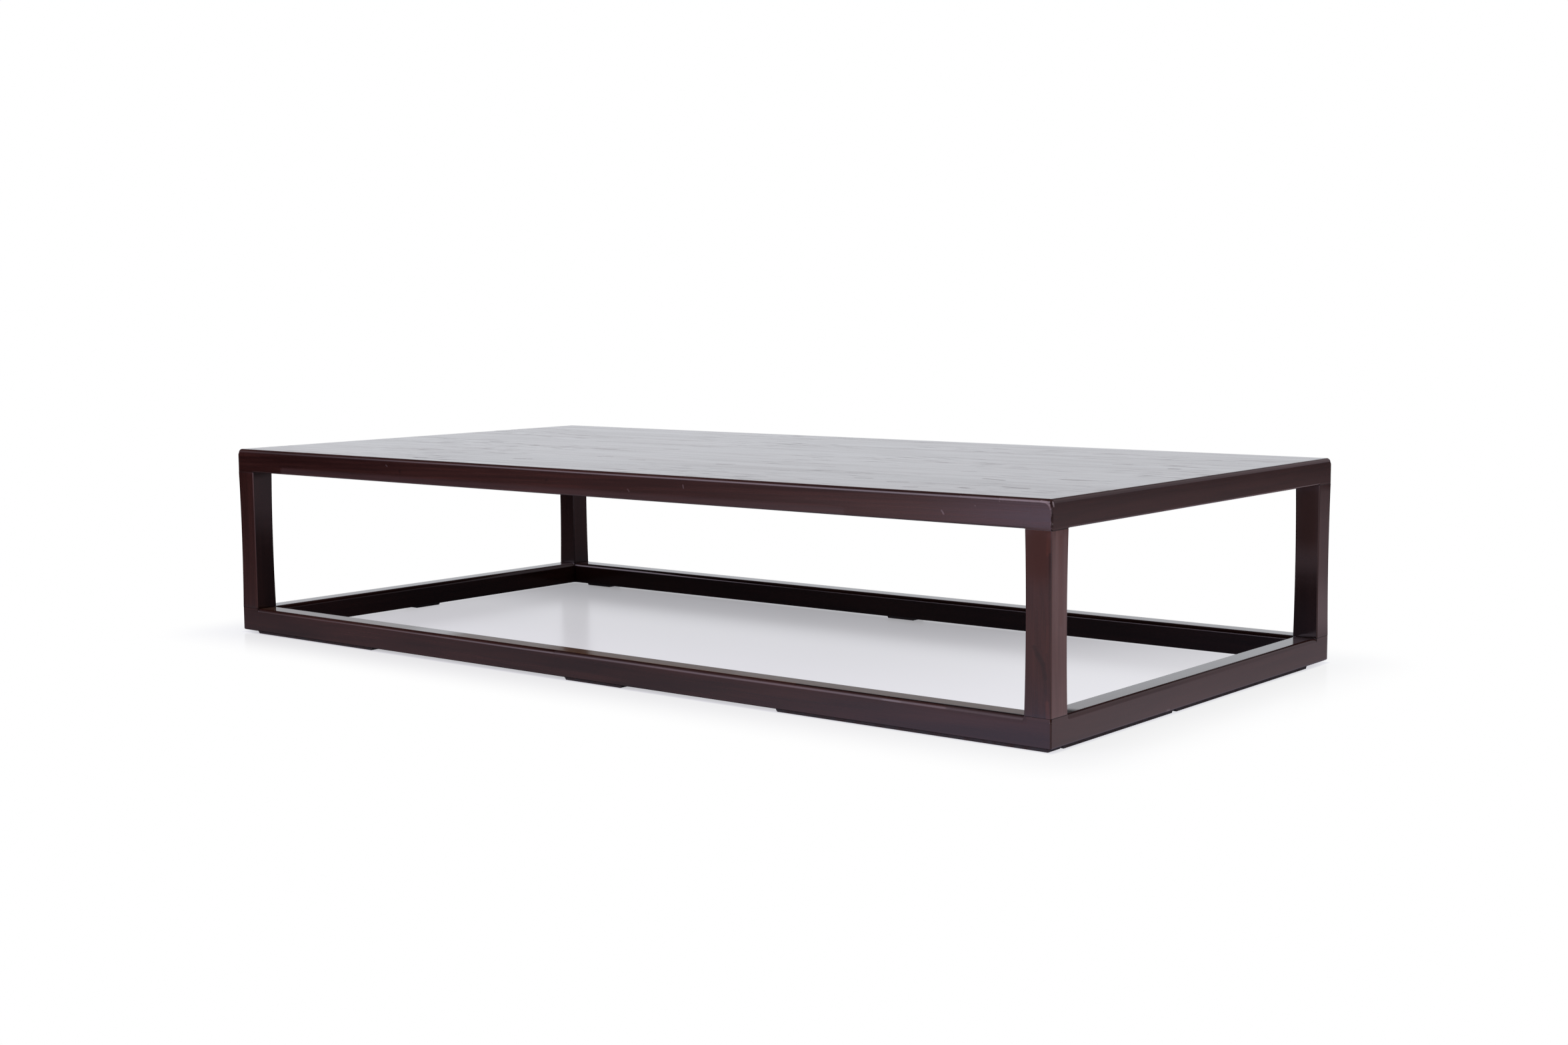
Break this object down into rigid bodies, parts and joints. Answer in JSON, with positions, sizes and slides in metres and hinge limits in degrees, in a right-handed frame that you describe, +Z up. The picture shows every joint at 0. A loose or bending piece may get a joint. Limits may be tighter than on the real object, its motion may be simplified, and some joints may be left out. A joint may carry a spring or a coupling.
{
  "type": "low kang table on a floor frame",
  "caption": "Low oblong table in dark stained wood: a flush board and apron, waisted square legs and a mitred frame along the floor.",
  "frame": {"origin": "on the floor, under the middle of the table", "axes": "+X along the table's length, +Y from the front long side to the back, +Z up"},
  "size_m": [1.6, 0.8, 0.312],
  "materials": {
    "board_wood": "open-grained hardwood stained almost black-brown, thin satin lacquer with a clear sheen",
    "frame_wood": "the same stained hardwood on the aprons and base rails, satin lacquer",
    "leg_wood": "the same stained hardwood, grain upright, satin lacquer",
    "inner_wood": "plain hardwood out of sight, thinly stained, unpolished",
    "pad_wood": "dark stained hardwood, dull"
  },
  "bodies": {
    "root": {"top_board": "board_wood", "apron_front": "frame_wood", "apron_back": "frame_wood", "apron_left": "frame_wood", "apron_right": "frame_wood", "leg_front_left": "leg_wood", "leg_front_right": "leg_wood", "leg_back_left": "leg_wood", "leg_back_right": "leg_wood", "base_rail_front": "frame_wood", "base_rail_back": "frame_wood", "base_rail_left": "frame_wood", "base_rail_right": "frame_wood", "cross_rail_left": "inner_wood", "cross_rail_middle": "inner_wood", "cross_rail_right": "inner_wood", "corner_block_front_left": "inner_wood", "corner_block_front_right": "inner_wood", "corner_block_back_left": "inner_wood", "corner_block_back_right": "inner_wood", "glue_blocks": "inner_wood", "base_splines": "inner_wood", "apron_splines": "inner_wood", "pads_front": "pad_wood", "pads_back": "pad_wood", "pads_left": "pad_wood", "pads_right": "pad_wood"}
  },
  "joints": []
}
